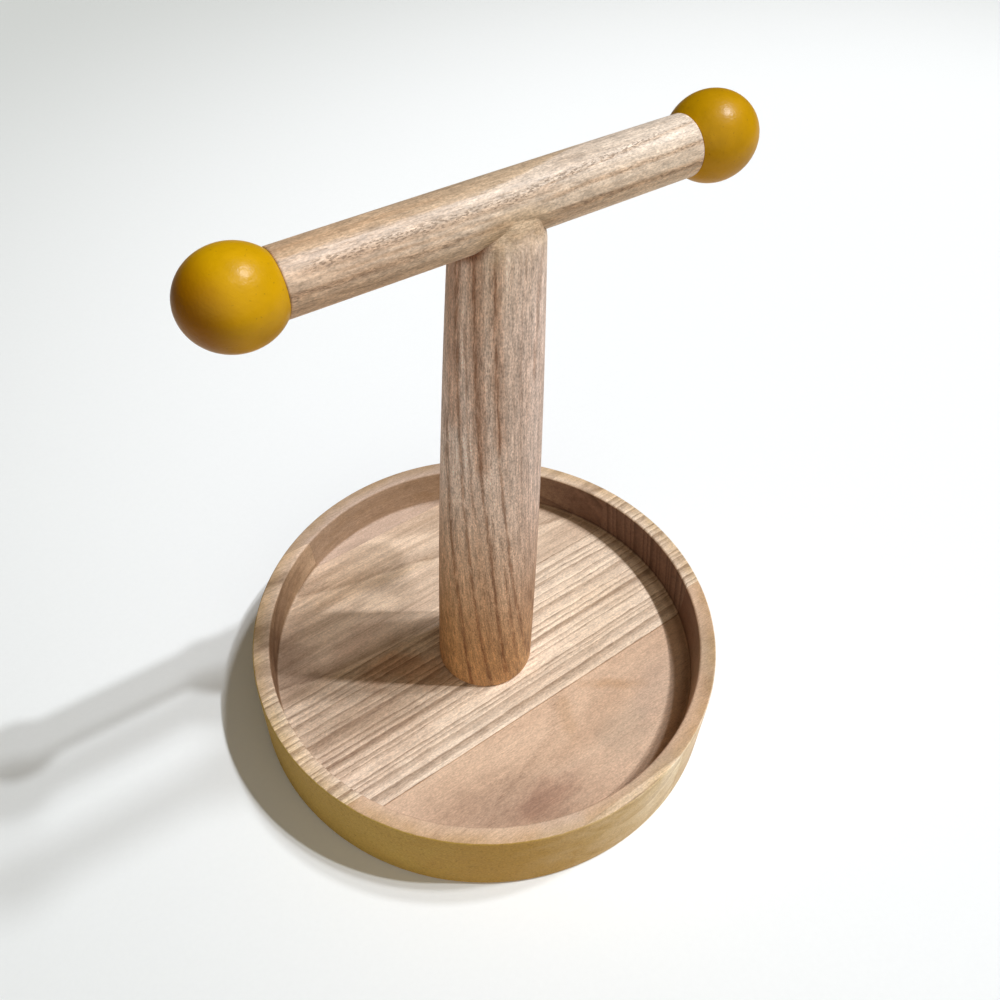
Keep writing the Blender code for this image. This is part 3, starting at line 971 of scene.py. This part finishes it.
# %% The post's finish
POST_ACROSS = (0.815, -0.58, 0)
LEAN_STARTS = 150
LEAN = 0.00058
POST_LOOK = dict(
    seed=21, pith=(-160, 30), slope=0, rise=0, gap=4.4, wander=4, ripple=1.4, fray=0.9,
    sharp=3, even=0.3, contrast=0.26, fibre=0.42, pores=0.6, stray=0.55, streaks=0.3, comb=0.95,
    sand=1.6, mottle=1, pale=(1, 0.865, 0.8), warm=(0.91, 0.75, 0.67),
    streak=(0.7, 0.53, 0.44), dark=(0.4, 0.27, 0.2), pore=(0.2, 0.11, 0.065),
)
POST_LINES = (
    (-14.4, 0.027, 8, 122, 1, 0.85),
    (-8.4, 0.003, 4, 178, 0.9, 0.8),
    (-3.3, 0.02, 14, 86, 1, 0.85),
    (0.6, 0.004, 12, 72, 0.8, 0.55),
    (-2.1, -0.0215, 60, 178, 0.8, 0.8),
    (3.6, -0.02, 14, 84, 0.8, 0.7),
    (6.9, -0.012, 14, 58, 0.7, 0.45),
    (2.7, -0.025, 60, 178, 0.7, 0.8),
    (-5.6, -0.01, 84, 150, 0.6, 0.55),
    (6.4, -0.008, 96, 170, 0.5, 0.35),
    (9.2, 0, 126, 166, 0.6, 0.6),
)
POST_BANDS = (
    (-2.9, -0.0215, 100, 182, 3, 1),
    (1.6, -0.025, 108, 182, 2.2, 0.85),
    (-9.2, 0, 112, 186, 3.4, 1),
)
BAND_TINT = (0.77, 0.65, 0.57)
LINE_TINT = (0.46, 0.345, 0.27)
LINE_BREAKS = (0.27, 0.57)
# Where each tone starts and is full, in millimetres: up the post, or across it from the left to the right.
# painted shade: the foot is darker and warmer, standing in for shade and the tray's warm bounce light
FOOT_PAINTED_SHADE_SLANT = 0.7
FOOT_PAINTED_SHADE_UP = (122, 12)
FOOT_PAINTED_SHADE_TINT = (0.66, 0.45, 0.225)
# painted light: half way up, the shaded left is made paler and cooler
LEFT_PAINTED_LIGHT_FROM = (70, 106)
LEFT_PAINTED_LIGHT_TO = (158, 124)
LEFT_PAINTED_LIGHT_ACROSS = (5, -3)
LEFT_PAINTED_LIGHT_TINT = (1.09, 1.14, 1.21)
# painted shade: the lit right is made darker below the head
RIGHT_PAINTED_SHADE_ACROSS = (-1, 7)
RIGHT_PAINTED_SHADE_TO = (162, 124)
RIGHT_PAINTED_SHADE_TINT = (0.76, 0.725, 0.7)
HEAD_FROM = (142, 166)
HEAD_ACROSS = (-6, 2)
HEAD_TINT = (0.97, 0.95, 0.89)
SANDED_OFF_BAR = (6.2, 0.5)
SANDED_ACROSS = (-4, 0.5)
# painted shade: dark in the crease under the bar on the post's left
CREASE_PAINTED_SHADE_OFF_BAR = (2.6, 0.2)
CREASE_PAINTED_SHADE_ACROSS = (1.5, -3.5)
CREASE_PAINTED_SHADE_TINT = (0.42, 0.3, 0.23)


def leaning(place):
    """The place in a grain that leans over below a height, more and more towards the foot."""
    along, across, through = parts_of(place)
    below = maths("MAXIMUM", LEAN_STARTS - along, 0)
    return new_node(place.tree, "CombineXYZ", {0: along, 1: across - LEAN * below * below, 2: through})


def post_tones(place, colour, lines):
    """The colour with its bands and dark lines and the head's tone, with painted shade at the foot and on the
    lit right, and painted light on the shaded left.
    """
    along, across, _ = parts_of(place)
    bands = veins(along, wavering(place, across, 1.6, 63), POST_BANDS)
    left_painted_light = reaching(place, *LEFT_PAINTED_LIGHT_FROM) * reaching(place, *LEFT_PAINTED_LIGHT_TO)
    right_shade_below_head = scaled(reaching(place, *RIGHT_PAINTED_SHADE_TO), 0.55, 0.45)
    for amount, tint in (
            (bands, BAND_TINT), (lines, LINE_TINT),
            (step_between(along + FOOT_PAINTED_SHADE_SLANT * across, *FOOT_PAINTED_SHADE_UP), FOOT_PAINTED_SHADE_TINT),
            (left_painted_light * step_between(across, *LEFT_PAINTED_LIGHT_ACROSS), LEFT_PAINTED_LIGHT_TINT),
            (right_shade_below_head * step_between(across, *RIGHT_PAINTED_SHADE_ACROSS), RIGHT_PAINTED_SHADE_TINT),
            (reaching(place, *HEAD_FROM) * step_between(across, *HEAD_ACROSS), HEAD_TINT)):
        colour = tinted(colour, amount, tint)
    return colour


def post_joint(shader, place, colour):
    """The colour with the bar's figure sanded into the head, and painted shade in the crease under the bar on
    the left.
    """
    across = parts_of(place)[1]
    bar_place = grain_place(shader, X_AXIS, Y_AXIS)
    _, aside, up = parts_of(bar_place)
    off = distance(aside, up - AXIS_HEIGHT) - BAR_RADIUS
    uneven = off + swing(cloud(place, (3, 1.5, 1.5), 2, 71), 3)
    sanded = step_between(uneven, *SANDED_OFF_BAR) * step_between(across, *SANDED_ACROSS)
    painted_crease_shade = step_between(off, *CREASE_PAINTED_SHADE_OFF_BAR) * step_between(across, *CREASE_PAINTED_SHADE_ACROSS)
    return tinted(mixed(sanded, colour, bar_figure(bar_place)[0]), painted_crease_shade, CREASE_PAINTED_SHADE_TINT)


def post_wood():
    finish, shader = new_finish("post_finish", 0.58)
    place = leaning(grain_place(shader, Z_AXIS, POST_ACROSS))
    along, across, _ = parts_of(place)
    colour, height = wood(place, POST_LOOK)
    breaks = step_between(cloud(place, (6, 0.8, 0.8), 3, 69), *LINE_BREAKS)
    lines = breaks * veins(along, wavering(place, across, 1.1, 67), POST_LINES)
    colour = post_joint(shader, place, post_tones(place, colour, lines))
    finish_stick(shader, place, colour, height - 0.4 * lines, 0.58, 0.3)
    return finish


# %% Coping the post to the bar
COPE_RADIUS = BAR_RADIUS + BAR_SWELL + 0.02
COPE_HALF = 20
COPE_STEPS = 96

drill = in_metres([(0, COPE_HALF), (COPE_RADIUS, COPE_HALF), (COPE_RADIUS, -COPE_HALF), (0, -COPE_HALF)])
cope = laid_along_bar(turned_mesh(drill, COPE_STEPS))
post = turned_mesh(post_outline(), POST_STEPS)
hollow_out(post)
add_piece("visual_post", carved(post, cope), post_wood(), "post")

# %% [markdown]
# ## The crossbar
#
# A plain rod, sanded by hand, so it is a hair thicker in the middle than at its ends, and its end edges
# are just broken. It is turned upright and then laid along the stand's X axis.

# %% The crossbar
BAR_HALF = 48.98
BAR_EDGE = 0.4
BAR_STEPS = 128
BAR_RINGS = 24


def bar_radius(x):
    return BAR_RADIUS + BAR_SWELL * (1 - (x / BAR_HALF) ** 2)


def bar_outline():
    """From one end to the other, with broken end edges."""
    straight = BAR_HALF - BAR_EDGE
    shoulder = bar_radius(straight) - BAR_EDGE
    points = [(0, BAR_HALF)] + arc((shoulder, straight), BAR_EDGE, 90, 0)
    for i in range(1, BAR_RINGS):
        x = straight * (1 - 2 * i / BAR_RINGS)
        points.append((bar_radius(x), x))
    points += arc((shoulder, -straight), BAR_EDGE, 0, -90)
    return in_metres(points + [(0, -BAR_HALF)])


bar = laid_along_bar(turned_mesh(bar_outline(), BAR_STEPS))
add_piece("visual_crossbar", bar, bar_wood(), "crossbar")

# %% [markdown]
# ## The balls
#
# Each ball is turned a little longer than it is round, flatted where it meets the bar's end, and dipped in
# a mustard lacquer with a soft, broad highlight, a faint ripple and a speck or two of dust. The left ball's
# outer end is painted darker and browner, more towards its bottom: painted shade. The right ball's lacquer
# is coloured a shade deeper.

# %% The lacquer
LACQUER = (0.655, 0.362, 0.0015)
LACQUER_THICK = tuple(0.88 * c for c in LACQUER)
# painted shade: the left ball's outer, lower side is darkened and browned
LEFT_BALL_PAINTED_SHADE_SLANT = 0.12
LEFT_BALL_PAINTED_SHADE = (-57.5, -66)
LEFT_BALL_PAINTED_SHADE_TINT = (0.52, 0.38, 0.5)
RIGHT_BALL = (30, 50)
RIGHT_BALL_TINT = (0.87, 0.83, 1)
DUST_EDGE = (0.8, 0.84)
DUST = (0.12, 0.06, 0.01)
RIPPLE_RELIEF = 0.00008


def lacquer_finish():
    finish, shader = new_finish("mustard_lacquer_finish", 0.34)
    place = grain_place(shader, X_AXIS, Y_AXIS)
    along, _, through = parts_of(place)
    cloudy = cloud(place, (6, 6, 6), 3, 51)
    dust = step_between(cloud(place, (0.5, 0.5, 0.5), 0, 53), *DUST_EDGE)
    left_ball_painted_shade = along + LEFT_BALL_PAINTED_SHADE_SLANT * (through - AXIS_HEIGHT) + swing(cloudy, 3)
    colour = mixed(step_between(cloudy, 0.35, 0.7), LACQUER, LACQUER_THICK)
    colour = tinted(colour, step_between(left_ball_painted_shade, *LEFT_BALL_PAINTED_SHADE), LEFT_BALL_PAINTED_SHADE_TINT)
    colour = tinted(colour, step_between(along, *RIGHT_BALL), RIGHT_BALL_TINT)
    colour = mixed(dust * 0.3, colour, DUST)
    dull = scaled(cloud(place, (3, 3, 3), 3, 57), 0.14, 0.27)
    ripple = cloud(place, (1.6, 1.6, 1.6), 2, 59) + 0.3 * cloud(place, (0.5, 0.5, 0.5), 1, 61)
    join_up(shader, colour, dull, 0.22, ripple, RIPPLE_RELIEF)
    return finish


# %% Turning the balls
BALL_RADIUS = 10
BALL_HALF_LENGTH = 10.9
BALL_FLAT = 6.8
SEAT_GAP = 0.07
BALL_STEPS = 128
BALL_RINGS = 48
FLAT_DISTANCE = BALL_HALF_LENGTH * math.sqrt(1 - (BALL_FLAT / BALL_RADIUS) ** 2)


def ball_outline():
    """Outer pole, oval side and the flat."""
    last = math.degrees(math.asin(-FLAT_DISTANCE / BALL_HALF_LENGTH))
    side = arc((0, 0), BALL_RADIUS, 90, last, BALL_RINGS, BALL_HALF_LENGTH / BALL_RADIUS)
    return in_metres(side + [(0, -FLAT_DISTANCE)])


lacquer = lacquer_finish()
for node, side in (("ball_left", -1), ("ball_right", 1)):
    ball = turned_mesh(ball_outline(), BALL_STEPS)
    ball = laid_along_bar(ball, side, BAR_HALF + SEAT_GAP + FLAT_DISTANCE)
    add_piece("visual_" + node, ball, lacquer, node)

# %% [markdown]
# ## Screw and dowels
#
# None of these shows from above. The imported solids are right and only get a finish: zinc
# with the fine scratches of a driver bit, and plain beech.

# %% Finishes for the hidden pieces
ZINC_DARK = (0.62, 0.6, 0.55)
ZINC_LIGHT = (0.78, 0.76, 0.7)
DOWEL_LOOK = dict(PLAIN, seed=45, gap=2, contrast=0.2, pale=(0.68, 0.5, 0.34), warm=(0.6, 0.42, 0.28))


def zinc_finish():
    finish, shader = new_finish("zinc_finish", 0.35)
    scratch = cloud(grain_place(shader, Z_AXIS, X_AXIS), (0.3, 2.5, 0.3), 3, 71)
    feed(shader.inputs["Base Color"], mixed(scratch, ZINC_DARK, ZINC_LIGHT))
    feed(shader.inputs["Roughness"], scaled(scratch, 0.25, 0.22))
    shader.inputs["Metallic"].default_value = 1
    return finish


def dowel_wood(name, along, across):
    finish, shader = new_finish(name, 0.6)
    place = grain_place(shader, along, across)
    finish_stick(shader, place, *wood(place, DOWEL_LOOK), 0.6, 0.4)
    return finish


lying_dowel = dowel_wood("lying_dowel_finish", X_AXIS, Y_AXIS)
HIDDEN = {
    "post_screw": zinc_finish(), "bar_dowel": dowel_wood("upright_dowel_finish", Z_AXIS, X_AXIS),
    "ball_dowel_left": lying_dowel, "ball_dowel_right": lying_dowel,
}
for node, finish in HIDDEN.items():
    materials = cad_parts[node].data.materials
    materials.clear()
    materials.append(finish)
    print(node, "finish", finish.name)

# %% [markdown]
# ## The table
#
# The white table returns much of the lamps' light, which fills the undersides. To the camera it is
# a shade whiter than to the light, and it is painted grey away from the lamps' pool, a painted pool of
# light, so that the background is right without more light on the wood. The light it returns is painted
# weaker away from the pool too. The pool is a long oval, a little turned, so it is measured in a place of
# its own.

# %% Table
POOL_CENTRE = (267.486, 118.979)
POOL_TURN = -0.309
POOL_SQUEEZE = 0.892
POOL_FADE = (207, 602)
BOUNCE_FADE = (760, 330)
TABLE_BRIGHT = (0.955, 0.985, 0.99)
# painted light: the table's colour fades to this grey away from the lamps' pool
TABLE_PAINTED_DIM = (0.61, 0.635, 0.615)
TABLE_FOR_LIGHT = (0.76, 0.67, 0.56)
TABLE_HALF = 6


def table_finish():
    finish, shader = new_finish("table_finish", 0.7)
    cosine, sine = math.cos(POOL_TURN), math.sin(POOL_TURN)
    place = grain_place(shader, (cosine, sine, 0), (-sine, cosine, 0))
    along, across, _ = parts_of(place)
    far = distance(POOL_SQUEEZE * (along - POOL_CENTRE[0]), across - POOL_CENTRE[1])
    grainy = scaled(cloud(place, (1.2, 1.2, 1.2), 2, 81), 0.03, 0.985)
    seen = shaded(mixed(step_between(far, *POOL_FADE), TABLE_BRIGHT, TABLE_PAINTED_DIM), grainy)
    given = shaded(TABLE_FOR_LIGHT, scaled(step_between(far, *BOUNCE_FADE), 0.8, 0.2))
    by_camera = new_node(place.tree, "LightPath", {}, "Is Camera Ray")
    feed(shader.inputs["Base Color"], mixed(by_camera, given, seen))
    shader.inputs["Specular IOR Level"].default_value = 0
    return finish


def lay_table():
    bm = bmesh.new()
    bmesh.ops.create_grid(bm, x_segments=8, y_segments=8, size=TABLE_HALF)
    table = placed("table", bm)
    table.data.materials.append(table_finish())
    table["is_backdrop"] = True
    print("table", 2 * TABLE_HALF, "m wide")


lay_table()

# %% [markdown]
# ## The light
#
# A row of lamps hangs up and to the right, a little in front. One lamp would throw a single shadow; the
# row throws several, a step apart, which overlap near the tray and part again under the bar, as in the
# photograph. Each lamp is a sun of its own width, so that its shadow is as soft as the real one. The rest
# is filled by a weak warm room and by one broad, soft window, low down in front. The window is a smooth
# lobe in the sky, not a lamp, so it throws no edge of a shadow.

# %% Light
# Name, direction, the brightness that it alone gives a white table, and width in degrees.
LAMPS = (
    ("lamp_far", (0.455, -0.306, 1), 0.32, 1.4),
    ("lamp_second", (0.48, -0.238, 1), 0.145, 1.8),
    ("lamp_third", (0.49, -0.21, 1), 0.135, 2.6),
    ("lamp_near", (0.52, -0.071, 1), 0.225, 4.5),
)
LAMP_COLOUR = (0.98, 1, 1.05)
ROOM = (0.034, 0.016, 0)
WINDOW = (0.86, 0.79, 0.66)
WINDOW_TOWARDS = (-0.32, -0.91, 0.26)
WINDOW_SOFTNESS = 1.5
BACKDROP = (0.92, 0.92, 0.92)


def hang_lamps():
    for name, towards, share, width in LAMPS:
        towards = Vector(towards).normalized()
        data = bpy.data.lights.new(name, "SUN")
        data.energy = share * math.pi / towards.z
        data.angle = math.radians(width)
        data.color = LAMP_COLOUR
        lamp = bpy.data.objects.new(name, data)
        lamp.rotation_mode = "QUATERNION"
        lamp.rotation_quaternion = towards.to_track_quat("Z", "Y")
        bpy.context.scene.collection.objects.link(lamp)
        print(name, "energy", round(data.energy, 3))


def fill_room():
    """The room and its window for the light, and a plain bright backdrop for the camera."""
    world = bpy.data.worlds.new("room")
    world.use_nodes = True
    tree = world.node_tree
    towards_window = facing(tree, "Generated", Vector(WINDOW_TOWARDS).normalized())
    glow = maths("POWER", maths("MAXIMUM", towards_window, 0), WINDOW_SOFTNESS)
    by_camera = new_node(tree, "LightPath", {}, "Is Camera Ray")
    feed(tree.nodes["Background"].inputs["Color"], mixed(by_camera, mixed(glow, ROOM, WINDOW), BACKDROP))
    bpy.context.scene.world = world


hang_lamps()
fill_room()
bpy.context.scene.view_settings.view_transform = "Standard"

# %% [markdown]
# ## Sizes, and the end
#
# The finished model has to stay inside the imported one, so its box is printed.

# %% Write the sizes and finish
low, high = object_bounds()
print("visual box:", [round(v, 4) for v in (*low, *high)])
